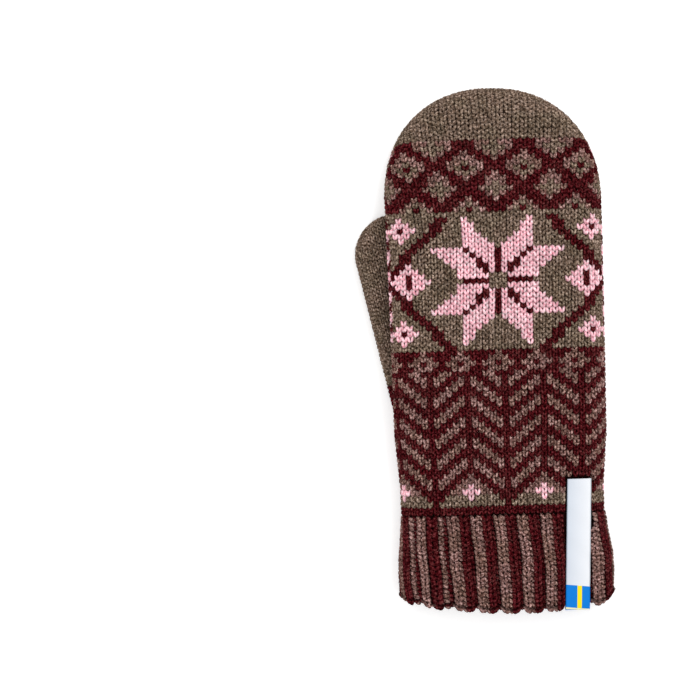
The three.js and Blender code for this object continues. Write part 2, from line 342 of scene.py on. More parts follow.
def pressed(points):
    """Knitting under the label sinks: the top side goes down by an ease at the label's edges."""
    x, y, z = points[..., 0], points[..., 1], points[..., 2]
    across = smooth((LABEL_WIDTH / 2.0 + PRESS_REACH - np.abs(x - label_middle(y))) / PRESS_EASE)
    along = smooth((LABEL_TOP + PRESS_EASE - y) / PRESS_EASE)
    down = PRESS * across * along * (z > CUFF_THICK / 2.0)
    return points - np.stack([np.zeros_like(down), np.zeros_like(down), down], axis=-1)


def beside_label(points, margin):
    """Whether places on the top side lie clear of the label by a margin: the tape covers the rest."""
    x, y, z = points[:, 0], points[:, 1], points[:, 2]
    clear = (np.abs(x - label_middle(y)) > LABEL_WIDTH / 2.0 + margin) | (y > LABEL_TOP + margin)
    return clear | (z < CUFF_THICK / 2.0)


def hand_ring(rim, y, share, inset):
    """Points round the hand's wall at distance y, drawn in by an inset: an oval in plan, whose height
    follows a round rim. Over the rim it falls as the cosine whose sine is the share gone out."""
    full = np.interp(y, HAND_Y, HAND_THICK) / 2.0 - inset
    half = np.maximum(hand_half(y, inset), 1e-3)
    radius = np.maximum(np.minimum(full, half), 5e-4)
    across, up = oval(half, radius, share)
    x, y = np.broadcast_arrays(hand_centre(y) + across, y)
    near, beyond = past_rim(rim, np.stack([x.ravel(), y.ravel()], axis=1))[:2]
    gone = np.clip(beyond / (rim["radius"][near] - inset), 0.0, 1.0).reshape(x.shape)
    floor, roof = floor_and_roof(x, y)
    height = (1.0 + np.sign(up) * np.sqrt(1.0 - gone**2)) / 2.0
    z = floor + inset + (roof - floor - 2.0 * inset) * height
    return np.stack([x, y, z], axis=-1)


def thumb_place(side, run, z):
    """From the thumb's own frame to the hand's: a turn by its lean about the root of its middle line."""
    root_x = THUMB_TIP_CENTRE[0] + THUMB_RUN * math.sin(THUMB_LEAN)
    root_y = THUMB_TIP_CENTRE[1] - THUMB_RUN * math.cos(THUMB_LEAN)
    x = root_x - run * math.sin(THUMB_LEAN) + side * math.cos(THUMB_LEAN)
    y = root_y + run * math.cos(THUMB_LEAN) + side * math.sin(THUMB_LEAN)
    return np.stack(np.broadcast_arrays(x, y, z), axis=-1)


def thumb_ring(run, share, inset):
    """Points round the thumb at a run along it: an oval that narrows as a half circle at the tip."""
    past = np.clip((run - THUMB_RUN) / (THUMB_TIP_RADIUS - inset), 0.0, 1.0)
    full = THUMB_THICK / 2.0 - inset
    from_tip = np.clip((THUMB_RUN + THUMB_TIP_RADIUS - inset - run) / full, 0.0, 1.0)
    half = np.maximum((thumb_half(run) - inset) * np.sqrt(1.0 - past**2), 1e-3)
    radius = np.maximum(np.minimum(full * np.sqrt(1.0 - (1.0 - from_tip) ** 2), half), 5e-4)
    across, up = oval(half, radius, share)
    return thumb_place(across, run, THUMB_THICK / 2.0 + up)


def hem_rise(x):
    """The hem's height over its lowest stitch: a parabola, a steep power at the corners, and a bell
    where the label gathers it."""
    bow = HEM_BOW * ((x - HEM_LOWEST) / HEM_REACH) ** 2
    corner_rise = np.where(x < 0.0, HEM_LEFT_CORNER, HEM_RIGHT_CORNER)
    corner = corner_rise * (np.abs(x) / CUFF_HALF[0]) ** HEM_CORNER_POWER
    return bow + corner + HEM_GATHER * np.exp(-(((x - LABEL_X) / HEM_GATHER_REACH) ** 2))


def rib_depth(phase):
    """How deep the rib's surface lies, by its phase: a sharp bell of a furrow at 0 and a shallow one
    midway."""
    wrapped = np.abs(np.mod(phase + 0.5, 1.0) - 0.5)
    furrow = FURROW_DEPTH * np.exp(-((wrapped / FURROW_WIDTH) ** 2))
    off = (np.mod(phase, 1.0) - SHALLOW_AT) / SHALLOW_WIDTH
    return furrow + SHALLOW_DEPTH * np.exp(-(off**2))


def rib_place(phase):
    """Where a rib phase falls when the ribs are spread at both sides: eases at the left side, back again
    under the cuff, and likewise at the right."""
    from_middle = np.mod(phase + RIBS / 2.0, RIBS) - RIBS / 2.0
    left = LEFT_SPREAD * between(-from_middle, LEFT_OUT) * (1.0 - between(-from_middle, LEFT_BACK))
    right = RIGHT_SPREAD * between(from_middle, RIGHT_OUT) * (1.0 - between(from_middle, RIGHT_BACK))
    return phase - left + right


def tooth(phase):
    """The hem's scallops, one to a rib: one less a power of the phase's sine, so that furrows make the
    notches."""
    return SCALLOP * (1.0 - np.abs(np.sin(math.pi * phase)) ** SCALLOP_POWER)


def cuff_ring(y, phase, inset, ribbed):
    """Points round the cuff: an oval by rib phase, grooved by the rib's depth, with a bowed hem. The ribs
    don't fan out with the hem: a sine of the share holds those of the back together."""
    half = np.interp(y, CUFF_Y, CUFF_HALF)
    centre = np.interp(y, CUFF_Y, CUFF_CENTRE)
    radius = CUFF_THICK / 2.0
    full = 4.0 * (half - radius) + 2.0 * math.pi * radius
    share = (FURROW_AT - RIB_LEAN * y / CUFF_LENGTH) / full + rib_place(phase) / RIBS
    round_the_cuff = 2.0 * math.pi
    huddle = RIB_HUDDLE * (1.0 - y / CUFF_LENGTH)
    share = share - huddle * np.sin(round_the_cuff * share) / round_the_cuff
    groove = rib_depth(phase) * ribbed + inset
    across, up = oval(half, radius, share, groove)
    arch = CUFF_CROWN * (1.0 - (across / half) ** 2) * (up / radius + 1.0) / 2.0
    x = centre + across
    rise = (hem_rise(x) + tooth(phase)) * (1.0 - y / CUFF_LENGTH)
    return np.stack(np.broadcast_arrays(x, y + rise, radius + up + arch), axis=-1)


def rim_of_hand():
    """The hand's rim line: the outline in plan, set in square to itself by half the thickness."""
    side_y = np.arange(20.0, TIP_START, 0.5)
    turn = np.linspace(0.0, math.pi, 420)
    tip_y = TIP_START + (LENGTH - TIP_START) * np.sin(turn) ** (2.0 / TIP_POWER)
    tip_x = -HAND_HALF[-1] * np.sign(np.cos(turn)) * np.abs(np.cos(turn)) ** (2.0 / TIP_POWER)
    y = np.concatenate([side_y, tip_y, side_y[::-1]])
    x = np.concatenate([-hand_half(side_y), tip_x, hand_half(side_y)[::-1]]) + hand_centre(y)
    return rim_line(x, y, np.interp(y, HAND_Y, HAND_THICK) / 2.0)


def rim_of_thumb():
    """The thumb's rim line in its own frame: two sides and a half circle, set in by its half height."""
    side_y = np.arange(-20.0, THUMB_RUN, 0.5)
    turn = np.linspace(0.0, math.pi, 200)
    y = np.concatenate([side_y, THUMB_RUN + THUMB_TIP_RADIUS * np.sin(turn), side_y[::-1]])
    tip_x = -THUMB_TIP_RADIUS * np.cos(turn)
    x = np.concatenate([-thumb_half(side_y), tip_x, thumb_half(side_y)[::-1]])
    return rim_line(x, y, np.full(len(x), THUMB_THICK / 2.0))


def rim_line(x, y, radius):
    """A line in plan with its tangents and outward normals, moved inwards by the radius."""
    line = np.stack([x, y], axis=1)
    tangent = unit(np.gradient(line, axis=0))
    normal = np.stack([-tangent[:, 1], tangent[:, 0]], axis=1)
    return {"line": line - normal * radius[:, None], "tangent": tangent, "normal": normal, "radius": radius}


def past_rim(rim, flat):
    """For each place in plan, the nearest point of the rim line, and how far the place lies beyond it
    and along it. The places are taken in batches, to keep the table of distances small."""
    near = np.concatenate([
        np.argmin(((part[:, None, :] - rim["line"][None, :, :]) ** 2).sum(axis=2), axis=1)
        for part in np.array_split(flat, max(1, len(flat) // 4000))
    ])
    away = flat - rim["line"][near]
    beyond = (away * rim["normal"][near]).sum(axis=1)
    along = (away * rim["tangent"][near]).sum(axis=1)
    return near, beyond, along


def over_rim(rim, u, v):
    """Folds a flat sheet over a rim: a point beyond the rim line by an arc t goes out by the radius
    times the sine of t over the radius, and down with its cosine. Returns plan and angle."""
    flat = np.stack([u, v], axis=1)
    near, beyond, along = past_rim(rim, flat)
    radius = rim["radius"][near]
    turned = np.clip(beyond / radius, 0.0, math.pi)
    folded = (
        rim["line"][near]
        + rim["tangent"][near] * along[:, None]
        + rim["normal"][near] * (radius * np.sin(turned))[:, None]
    )
    outside = beyond > 0.0
    plan = np.where(outside[:, None], folded, flat)
    return plan, np.where(outside, turned, 0.0)


def hand_sheet(rim, u, v, palm):
    """The place of a point of the back's sheet, or of the palm's, which is the same sheet mirrored."""
    plan, angle = over_rim(rim, -u if palm else u, v)
    x, y = plan[:, 0], plan[:, 1]
    floor, roof = floor_and_roof(x, y)
    height = (1.0 - np.cos(angle)) / 2.0 if palm else (1.0 + np.cos(angle)) / 2.0
    return pressed(np.stack([x, y, floor + (roof - floor) * height], axis=1)), angle


def thumb_sheet(rim, u, v, palm):
    """The place of a point of the thumb's upper sheet, or of its lower one."""
    plan, angle = over_rim(rim, -u if palm else u, v)
    up = np.cos(angle) * THUMB_THICK / 2.0
    height = THUMB_THICK / 2.0 + (-up if palm else up)
    return thumb_place(plan[:, 0], plan[:, 1], height), angle


def seats(place, u, v, step=STEP):
    """Where stitches sit: points with unit directions across, along and out of the surface, by
    differences over short steps, and the angle that the sheet is folded to there."""
    points, angle = place(u, v)
    across = unit(place(u + step, v)[0] - place(u - step, v)[0])
    along = unit(place(u, v + STEP)[0] - place(u, v - STEP)[0])
    return points, across, along, unit(np.cross(across, along)), angle


def grid_faces(rows, columns, wrap_rows=False):
    """Quads over a grid of points whose columns close round on themselves."""
    r = np.arange(rows if wrap_rows else rows - 1)[:, None]
    c = np.arange(columns)[None, :]
    down, over = np.mod(r + 1, rows) * columns, np.mod(c + 1, columns)
    here = r * columns
    return np.stack([here + c, here + over, down + over, down + c], axis=-1)


# One yarn leg: rings of this many sides at these shares of its length, closed to a point at each end
LEG_SIDES = 5
LEG_RINGS = np.array([0.08, 0.34, 0.66, 0.92])
LEG_FULLNESS = np.array([0.72, 1.0, 0.98, 0.62])
# How far a leg sinks into its seat, in share of its depth, how far it slips from it at random, and how
# much its width, length and depth vary
LEG_SINK = 0.45
LEG_SLIP = 0.07
LEG_WIDE = (0.95, 1.05)
LEG_LONG = (0.94, 1.06)
LEG_THICK = (0.88, 1.08)


def leg_shape(mirror):
    """A closed spindle along a leg of the V. Its middle line leans outwards with a slight bow and
    rises as a sine; its rings are ellipses. Returns local points, faces and surface coordinates."""
    share = np.append(LEG_RINGS, [0.0, 1.0])
    arch = np.sin(math.pi * share)
    line = np.stack([
        0.07 + 0.33 * share + 0.03 * arch,
        -0.74 + 1.46 * share,
        0.6 * arch - 0.6 + 0.35 * (0.5 - share),
    ], axis=1)
    round_share = np.arange(LEG_SIDES) / LEG_SIDES
    turn = round_share * 2.0 * math.pi
    ellipse = np.stack([0.25 * np.cos(turn), -0.06 * np.cos(turn), np.sin(turn)], axis=1)
    rings = line[:-2, None, :] + LEG_FULLNESS[:, None, None] * ellipse
    points = np.concatenate([rings.reshape(-1, 3), line[-2:]])
    count = len(LEG_RINGS)
    marks = np.stack([np.tile(round_share, count), np.repeat(LEG_RINGS, LEG_SIDES)], axis=1)
    marks = np.concatenate([marks, [[0.5, 0.0], [0.5, 1.0]]])
    quads = grid_faces(count, LEG_SIDES).reshape(-1, 4)
    here = np.arange(LEG_SIDES)
    after = (here + 1) % LEG_SIDES
    foot = count * LEG_SIDES
    top = foot - LEG_SIDES
    faces = np.concatenate([
        quads[:, [0, 1, 2]],
        quads[:, [0, 2, 3]],
        np.stack([np.full(LEG_SIDES, foot), after, here], axis=1),
        np.stack([np.full(LEG_SIDES, foot + 1), top + here, top + after], axis=1),
    ])
    if mirror:
        points = points * np.array([-1.0, 1.0, 1.0])
        faces = faces[:, ::-1]
    return points, faces, marks


def empty_yarn():
    """A set of yarn with nothing laid yet."""
    return {"points": [], "faces": [], "marks": [], "yarn": [], "tone_and_painted_light": [], "count": 0}


def lay(yarn, placed, faces, marks, colour, tone_and_painted_light):
    """Adds copies of a small shape to a set of yarn, as their placed points, copy by copy. The surface
    that it all lies on presses the lowest yarn flat."""
    copies, corners = placed.shape[:2]
    placed[..., 2] = np.maximum(placed[..., 2], 0.0)
    base = yarn["count"] + np.arange(copies)[:, None, None] * corners
    yarn["points"].append(placed.reshape(-1, 3))
    yarn["faces"].append((faces[None, :, :] + base).reshape(-1, 3))
    yarn["marks"].append(np.tile(marks, (copies, 1)))
    yarn["yarn"].append(np.repeat(colour, len(faces)))
    yarn["tone_and_painted_light"].append(tone_and_painted_light.ravel())
    yarn["count"] += copies * corners


def lay_legs(yarn, seat, width, length, depth, colour, mirror):
    """Lays one leg on every seat: place plus across, along and out, each times its local measure. Each
    leg has a random tone of its own, and painted shade darkens it evenly with depth into the knitting,
    where less light reaches."""
    points, across, along, out = seat[:4]
    local, faces, marks = leg_shape(mirror)
    n = len(points)
    wide = (width * RNG.uniform(*LEG_WIDE, n))[:, None, None]
    high = (length * RNG.uniform(*LEG_LONG, n))[:, None, None]
    thick = (depth * RNG.uniform(*LEG_THICK, n))[:, None, None]
    placed = (
        points[:, None, :]
        + RNG.normal(0.0, LEG_SLIP, (n, 1, 3))
        + local[None, :, 0:1] * wide * across[:, None, :]
        + local[None, :, 1:2] * high * along[:, None, :]
        + (local[None, :, 2:3] - LEG_SINK) * thick * out[:, None, :]
    )
    # Painted shade: the leg darkens towards its foot, deepest in the knitting
    height = np.clip((local[:, 2] + 0.7) / 1.4, 0.0, 1.0)
    own = RNG.uniform(*SHADE_RANGE, n)
    tone_and_painted_light = own[:, None] * (PAINTED_SHADE_AT_FOOT + (1.0 - PAINTED_SHADE_AT_FOOT) * height)[None, :]
    lay(yarn, placed, faces, marks, colour, tone_and_painted_light)


def lay_fibres(yarn, seat, per_seat, colour):
    """Loose wool fibres that stand off the knitting: spindles of two three-sided rings. Each runs off at
    an angle of its own, bends sideways with the square of its share, and arches as a sine."""
    count = int(len(seat[0]) * per_seat)
    chosen = RNG.integers(0, len(seat[0]), count)
    points, across, along, out = [part[chosen] for part in seat[:4]]
    angle = RNG.uniform(0.0, 2.0 * math.pi, count)[:, None]
    ahead = across * np.cos(angle) + along * np.sin(angle)
    aside = along * np.cos(angle) - across * np.sin(angle)
    length = RNG.uniform(*FIBRE_LENGTH, count)[:, None, None]
    bend = RNG.uniform(*FIBRE_BEND, count)[:, None, None]
    arch = RNG.uniform(*FIBRE_ARCH, count)[:, None, None]
    start = RNG.normal(0.0, FIBRE_SPREAD, (count, 1, 1)) * across[:, None, :] + points[:, None, :]
    share = np.array([0.0, 0.33, 0.33, 0.33, 0.67, 0.67, 0.67, 1.0])[None, :, None]
    turn = np.array([0.0, 0.0, 2.1, 4.2, 0.0, 2.1, 4.2, 0.0])[None, :, None]
    round_off = FIBRE_RADIUS * np.array([0.0, 1.0, 1.0, 1.0, 1.0, 1.0, 1.0, 0.0])[None, :, None]
    placed = (
        start
        + ahead[:, None, :] * length * share
        + aside[:, None, :] * (length * bend * share**2 + round_off * np.cos(turn))
        + out[:, None, :] * (0.1 + arch * np.sin(math.pi * share) + round_off * np.sin(turn))
    )
    faces = np.array([
        [0, 2, 1], [0, 3, 2], [0, 1, 3],
        [1, 2, 5], [1, 5, 4], [2, 3, 6], [2, 6, 5], [3, 1, 4], [3, 4, 6],
        [7, 4, 5], [7, 5, 6], [7, 6, 4],
    ])
    # Painted highlight: each fibre is lighter than its yarn, by a random amount
    tone_and_painted_light = np.repeat(RNG.uniform(0.9, 1.3, count), 8)
    lay(yarn, placed, faces, np.full((8, 2), 0.5), colour[chosen], tone_and_painted_light)


def lay_knit(yarn, seat, width, height, depth, colour):
    """Lays knit stitches: a right leg and its mirrored left leg on every seat."""
    lay_legs(yarn, seat, width, height, depth, colour, False)
    lay_legs(yarn, seat, width, height, depth, colour, True)


def chevrons(c, r):
    """Zigzag stripes, two rows of each colour, a row up for each column out, over a twelve-column
    repeat. Its valleys and peaks carry one burgundy column, and its foot is a row of plain triangles
    that each hold a pink crosslet."""
    repeat = 12
    first = 1
    foot = CHEVRONS_FROM + 2
    out = np.abs(np.mod(c - first + repeat // 2, repeat) - repeat // 2)
    above = r - CHEVRONS_FROM - out
    spine = (out == 0) | ((out == repeat // 2) & (above >= 0))
    stripe = (above >= 0) & (np.mod(above, 4) < 2)
    colour = np.where(spine | stripe, BURGUNDY, np.where(r < foot, TAUPE, RED_TAUPE))
    peak = out == repeat // 2
    beside = out == repeat // 2 - 1
    cross = (peak & (np.abs(r - foot) <= 1)) | (beside & (r == foot))
    return np.where(cross, PINK, colour)


def diamond_border(c, r, middle):
    """Small taupe crosslets on burgundy, six columns apart, each with a burgundy heart."""
    size = np.abs(np.mod(c + 3, 6) - 3) + np.abs(r - middle)
    return np.where((size <= 2.5) & (size > 0.5), RED_TAUPE, BURGUNDY)


def star(c, r, heart):
    """An eight-petalled star, its petals pink between the straight and the slanting axes, with
    burgundy ribs, a burgundy diamond round it and small pink diamonds at its sides and corners."""
    a = np.abs(c)
    b = np.abs(r - heart) * ROW / COLUMN
    low, high = np.minimum(a, b), np.maximum(a, b)
    body = (low <= STAR_REACH / 2.0) & (high - low <= STAR_REACH / 2.0)
    rib = body & ((low < 0.5) | (high - low < 0.55))
    colour = np.where(body & ~rib, PINK, TAUPE)
    colour = np.where(rib & (high > 1.2), BURGUNDY, colour)
    colour = np.where(np.abs(a + b - STAR_FRAME) < 0.95, BURGUNDY, colour)
    side = np.abs(a - 14) + b
    corner = np.abs(a - 15) + np.abs(np.abs(r - heart) - 10)
    colour = np.where((side < 3.3) | (corner < 2.5), PINK, colour)
    return np.where((side < 0.9) | (corner < 0.5), BURGUNDY, colour)


def net(c, r, first):
    """A burgundy net of slanting lines, eight columns apart, three stitches thick and then two, with a
    burgundy dot in every mesh. The taupe is redder beside the lines than in the middle of a mesh."""
    rise = np.mod(np.abs(c) + r - first, 8)
    fall = np.mod(np.abs(c) - r + first, 8)
    from_line = np.minimum(np.minimum(rise, 8 - rise), np.minimum(fall, 8 - fall))
    ground = np.where(from_line <= 2, RED_TAUPE, TAUPE)
    thick = (rise == 1) | (fall == 7) | ((r < first + 6) & ((rise == 7) | (fall == 1)))
    dot = (np.mod(c, 8) == 4) & (np.mod(r - first, 8) == 0)
    return np.where((rise == 0) | (fall == 0) | thick | dot, BURGUNDY, ground)


def back_chart(c, r):
    """The yarn of each stitch of the back of the hand, zone by zone from the cuff. Beside the star the
    last columns are seeded."""
    starts = [CHEVRONS_FROM, BORDER_FROM, STAR_FROM, PLAIN_ROW, NET_FROM, TIP_FROM]
    zones = [r < start for start in starts]
    choices = [
        np.full(c.shape, BURGUNDY),
        chevrons(c, r),
        diamond_border(c, r, BORDER_MIDDLE),
        star(c, r, STAR_HEART),
        np.full(c.shape, TAUPE),
        net(c, r, NET_FROM),
    ]
    colour = np.select(zones, choices, TAUPE)
    edge = (np.abs(c) >= HALF_COLUMNS - 1) & (r >= STAR_FROM + 2) & (r < PLAIN_ROW)
    seed = np.where(np.mod(r + np.abs(c), 4) < 2, PINK, BURGUNDY)
    return np.where(edge, seed, colour)


def palm_chart(c, r):
    """The yarn of each palm stitch: the chevrons go round, with scattered seeds above them."""
    row = np.mod(r, 6)
    seed = ((row == 2) & (np.mod(c, 6) == 0)) | ((row == 5) & (np.mod(c, 6) == 3))
    pink_seed = seed & (np.mod(r, 12) > 6)
    plain = np.where(pink_seed, PINK, np.where(seed, BURGUNDY, TAUPE))
    zones = [r < CHEVRONS_FROM, r < BORDER_FROM, r <= TIP_FROM]
    return np.select(zones, [np.full(c.shape, BURGUNDY), chevrons(c, r), plain], TAUPE)


def column_width(v):
    """The width of a column: the half girth shared by the columns, fanning out towards the tip."""
    at = np.minimum(v, GIRTH_HOLDS_FROM)
    radius = np.interp(at, HAND_Y, HAND_THICK) / 2.0
    girth = np.interp(at, HAND_Y, HAND_HALF) - radius + math.pi * radius / 2.0
    return girth / HALF_COLUMNS * (1.0 + FAN * between(v, FAN_OVER))


def waves(p, q):
    """The unevenness of hand work: a few sines of both counts, of different lengths, added up."""
    return (
        0.5 * np.sin(0.43 * p + 0.21 * q)
        + 0.35 * np.sin(0.17 * p - 0.38 * q + 1.3)
        + 0.3 * np.sin(0.91 * p + 0.6 * q + 2.1)
    )


def hand_stitches(rim, palm):
    """All stitches of one side of the hand, on the grid of columns and rows that its sheet covers. The
    palm is 0 for the back and 1 for the palm."""
    reach = HALF_COLUMNS - 1 if palm else HALF_COLUMNS
    c, r = counts(np.arange(-reach, reach + 1), np.arange(HAND_ROWS))
    v = np.interp(r + 0.5, ROW_COUNTS, ROW_HEIGHTS)
    tall = np.interp(r + 1.0, ROW_COUNTS, ROW_HEIGHTS) - np.interp(r, ROW_COUNTS, ROW_HEIGHTS)
    width = column_width(v)
    drift = DRIFT_LOW + (DRIFT_HIGH - DRIFT_LOW) * between(v, DRIFT_UP)
    inside = 1.0 - (c / HALF_COLUMNS) ** 2
    u = c * width + inside * (drift * (0.0 if palm else 1.0) + STRAY * waves(c, r))
    v = v + STRAY * inside * waves(r, c)
    seat = seats(lambda a, b: hand_sheet(rim, a + hand_centre(b) * (-1 if palm else 1), b, palm), u, v)
    limit = math.pi / 2.0 * np.where(v > TIP_START, TIP_TURN, HAND_TURN[palm])
    keep = (seat[4] <= limit) & beside_label(seat[0], TAPE_MARGIN)
    if palm:
        x, y, z = seat[0].T
        share = lift_share(x, y)
        lifted = (share > OPENING_LIFT[0]) & (share < OPENING_LIFT[1]) & (y < DROP[0])
        keep &= ~(in_thumb(x, y, z, OPENING_MARGIN) & lifted)
    colour = palm_chart(c, r) if palm else back_chart(c, r)
    return [part[keep] for part in seat], width[keep], tall[keep], colour[keep], r[keep]


def in_thumb(x, y, z, margin):
    """Whether a place lies in the thumb's tube, grown by a margin: within its half width, and there
    within the height of its flat middle or of its round sides."""
    dx = x - THUMB_TIP_CENTRE[0]
    dy = y - THUMB_TIP_CENTRE[1]
    side = np.abs(dx * math.cos(THUMB_LEAN) + dy * math.sin(THUMB_LEAN))
    run = THUMB_RUN - dx * math.sin(THUMB_LEAN) + dy * math.cos(THUMB_LEAN)
    radius = THUMB_THICK / 2.0
    beyond = np.clip((side - thumb_half(run)) / radius + 1.0, 0.0, 1.0)
    tall = radius * np.sqrt(1.0 - beyond**2) + margin
    inside = (side < thumb_half(run) + margin) & (run < THUMB_RUN + THUMB_TIP_RADIUS)
    return inside & (np.abs(z - radius) < tall)


def left_of_hand(x, y, z):
    """Whether a place lies beyond the hand's left side, whose section is a half ellipse in height."""
    floor, roof = floor_and_roof(x, y)
    height = np.clip((z - floor) / (roof - floor), 0.0, 1.0)
    full = np.sqrt(1.0 - (2.0 * height - 1.0) ** 2)
    radius = np.interp(y, HAND_Y, HAND_THICK) / 2.0
    return x < hand_centre(y) - hand_half(y) + radius * (1.0 - full)


def thumb_stitches(rim, palm):
    """The stitches of one side of the thumb, from its root to its tip, where they lie under the palm
    or beside the hand."""
    reach = int(THUMB_HALF_COLUMNS)
    c, r = counts(np.arange(-reach, reach + 1), np.arange(THUMB_ROWS))
    v = THUMB_FIRST_ROW + (r + 0.5) * THUMB_ROW
    radius = THUMB_THICK / 2.0
    width = (thumb_half(np.minimum(v, THUMB_RUN)) - radius + math.pi * radius / 2.0) / THUMB_HALF_COLUMNS
    seat = seats(lambda a, b: thumb_sheet(rim, a, b, palm), c * width, v)
    x, y, z = seat[0].T
    limit = math.pi / 2.0 * np.where(v > THUMB_RUN, TIP_TURN, THUMB_TURN[palm])
    keep = (seat[4] <= limit) & (y > RAMP[0] - THUMB_BEFORE_RAMP)
    keep &= (LIFT * lift_share(x, y) > z - THUMB_INTO_PALM) | left_of_hand(x, y, z)
    colour = np.where(y < THUMB_SHOWS_FROM, BURGUNDY, TAUPE)
    return [part[keep] for part in seat], width[keep], np.full(keep.sum(), THUMB_ROW), colour[keep], r[keep]


def cuff_seats(phase, y, inset):
    """Seats on the cuff at a phase of the ribs and a height, at an inset from its outside."""
    def place(p, q):
        return pressed(cuff_ring(q, p, inset, 0.0)), None

    return seats(place, phase, y, PHASE_STEP)[:4]


def lay_cuff(yarn):
    """The corrugated rib: in each rib a taupe and a burgundy knit column side by side, a sunk taupe
    purl column between them and a burgundy purl column deep in the furrow. In the two ribs of the
    left side the taupe purl column stands past the burgundy one. Where the ribs are spread, the knit
    columns nearly hold their width and the purl columns open: stretch is the power of the spread. Two
    sines make each column sway a little."""
    columns = [
        dict(phase=0.235, side=0.22, inset=0.0, width=4.4, stretch=0.1, colour=RED_TAUPE, knit=True),
        dict(phase=0.725, side=0.57, inset=0.0, width=4.7, stretch=0.7, colour=BURGUNDY, knit=True),
        dict(phase=0.485, side=0.86, inset=0.3, width=2.6, stretch=1.0, colour=RED_TAUPE, knit=False),
        dict(phase=0.985, side=0.985, inset=1.4, width=2.6, stretch=2.4, colour=BURGUNDY, knit=False),
    ]
    height = (CUFF_LENGTH - 1.0) / CUFF_ROWS
    near = 0.05
    rib, row = counts(np.arange(RIBS), np.arange(CUFF_ROWS))
    for column in columns:
        wave = 0.018 * np.sin(row * 0.55 + rib * 2.1) + 0.012 * np.sin(row * 0.23 + rib * 5.3)
        phase = rib + np.where(np.isin(rib, SIDE_RIBS), column["side"], column["phase"]) + wave
        spread = (rib_place(phase + near) - rib_place(phase - near)) / (2.0 * near)
        seat = cuff_seats(phase, CUFF_FIRST_ROW + (row + 0.2) * height, column["inset"])
        clear = beside_label(seat[0], TAPE_MARGIN)
        seat = [part[clear] for part in seat]
        width = column["width"] * spread[clear] ** column["stretch"]
        colour = np.full(len(width), column["colour"])
        if column["knit"]:
            lay_knit(yarn, seat, width, height, YARN_DEPTH * 1.1, colour)
        else:
            lay_bumps(yarn, seat, width, height, YARN_DEPTH, colour)
        lay_fibres(yarn, seat, CUFF_FIBRES, colour)


def lay_bumps(yarn, seat, width, height, depth, colour):
    """Lays purl bumps: the leg's spindle turned across the column, one for each seat."""
    points, across, along, out = seat
    turned = [points + along * 0.4 * height, along * -1.0, across, out]
    lay_legs(yarn, turned, height * 1.9, width * 0.7, depth * 1.15, colour, False)


def lay_hem(yarn, inset):
    """The cast-on edge: short yarn loops end to end round the hem, in the colour of their column, at an
    inset from the cuff's outside."""
    phase = (np.arange(RIBS * 4) + 0.5) / 4.0
    seat = cuff_seats(phase, np.full(len(phase), HEM_ROW), inset)
    clear = beside_label(seat[0], HEM_MARGIN)
    phase = phase[clear]
    points, across, along, out = [part[clear] for part in seat]
    turned = [points + along * 0.4, out, across, along * -1.0]
    colour = np.where(np.mod(phase, 1.0) < 0.5, RED_TAUPE, BURGUNDY)
    lay_knit(yarn, turned, *HEM_LOOP, colour)


def lay_floats(yarn):
    """The inside of the cuff: in every row short strands lie across, mostly of the colour that the
    column hides, as spindles on the inner wall that face inwards. Every other row is shifted by half."""
    strand, row = counts(np.arange(RIBS * 4), np.arange(FLOAT_ROWS))
    phase = (strand + 0.5 + 0.5 * np.mod(row, 2)) / 4.0
    seat = cuff_seats(phase, FLOATS_FROM + row * ROW, CUFF_WALL)
    clear = beside_label(seat[0], 1.0)
    points, across, along, out = [part[clear] for part in seat]
    other = RNG.uniform(0.0, 1.0, len(points)) < FLOATS_OF_OTHER_COLOUR
    hidden = (np.mod(phase[clear], 1.0) < 0.5) ^ other
    colour = np.where(hidden, BURGUNDY, RED_TAUPE)
    lay_legs(yarn, [points, along, across, -out], *FLOAT_SIZE, colour, False)


def shell(outer, inner, hole):
    """A wall between two grids of rings that run from an open mouth to a closed tip. Quads in the
    hole are left out of both skins, and every edge of it is bridged through the wall."""
    rows, columns = outer.shape[:2]
    total = rows * columns
    points = np.concatenate([outer.reshape(-1, 3), inner.reshape(-1, 3)])
    poles = np.stack([outer[-1].mean(axis=0), inner[-1].mean(axis=0)])
    points = np.concatenate([points, poles])
    cells = grid_faces(rows, columns)
    kept = ~hole
    outside = cells[kept]
    inside = cells[kept][:, ::-1] + total
    bridges = []
    corners = [(0, 1, -1, 0), (1, 2, 0, 1), (2, 3, 1, 0), (3, 0, 0, -1)]
    for a, b, step_row, step_column in corners:
        other = np.roll(hole, (-step_row, -step_column), axis=(0, 1))
        if step_row:
            other[0 if step_row < 0 else -1] = False
        edge = cells[kept & other]
        bridges.append(np.stack([edge[:, b], edge[:, a], edge[:, a] + total, edge[:, b] + total], axis=1))
    here = np.arange(columns)
    after = np.mod(here + 1, columns)
    mouth = np.stack([after, here, here + total, after + total], axis=1)
    top = (rows - 1) * columns
    caps = np.concatenate([
        np.stack([top + after, np.full(columns, 2 * total), top + here], axis=1),
        np.stack([top + here + total, np.full(columns, 2 * total + 1), top + after + total], axis=1),
    ])
    quads = np.concatenate([outside, inside, mouth] + bridges)
    return points, quads, caps


def linear(code):
    """An sRGB hex colour as linear red, green, blue and alpha."""
    parts = [int(code[i:i + 2], 16) / 255.0 for i in (1, 3, 5)]
    return [p / 12.92 if p <= 0.04045 else ((p + 0.055) / 1.055) ** 2.4 for p in parts] + [1.0]


def add(tree, kind, settings=None, links=None, stops=()):
    """Adds a shader node: sets its properties or unlinked inputs by name, sets a ramp's stops of place
    and sRGB hex colour, and links inputs to the named outputs of other nodes."""
    node = tree.nodes.new("ShaderNode" + kind)
    for key, value in (settings or {}).items():
        if hasattr(node, str(key)):
            setattr(node, key, value)
        else:
            node.inputs[key].default_value = value
    for _ in stops[2:]:
        node.color_ramp.elements.new(0.5)
    for k, (place, code) in enumerate(stops):
        node.color_ramp.elements[k].position = place
        node.color_ramp.elements[k].color = linear(code)
    for key, (source, output) in (links or {}).items():
        tree.links.new(source.outputs[output], node.inputs[key])
    return node


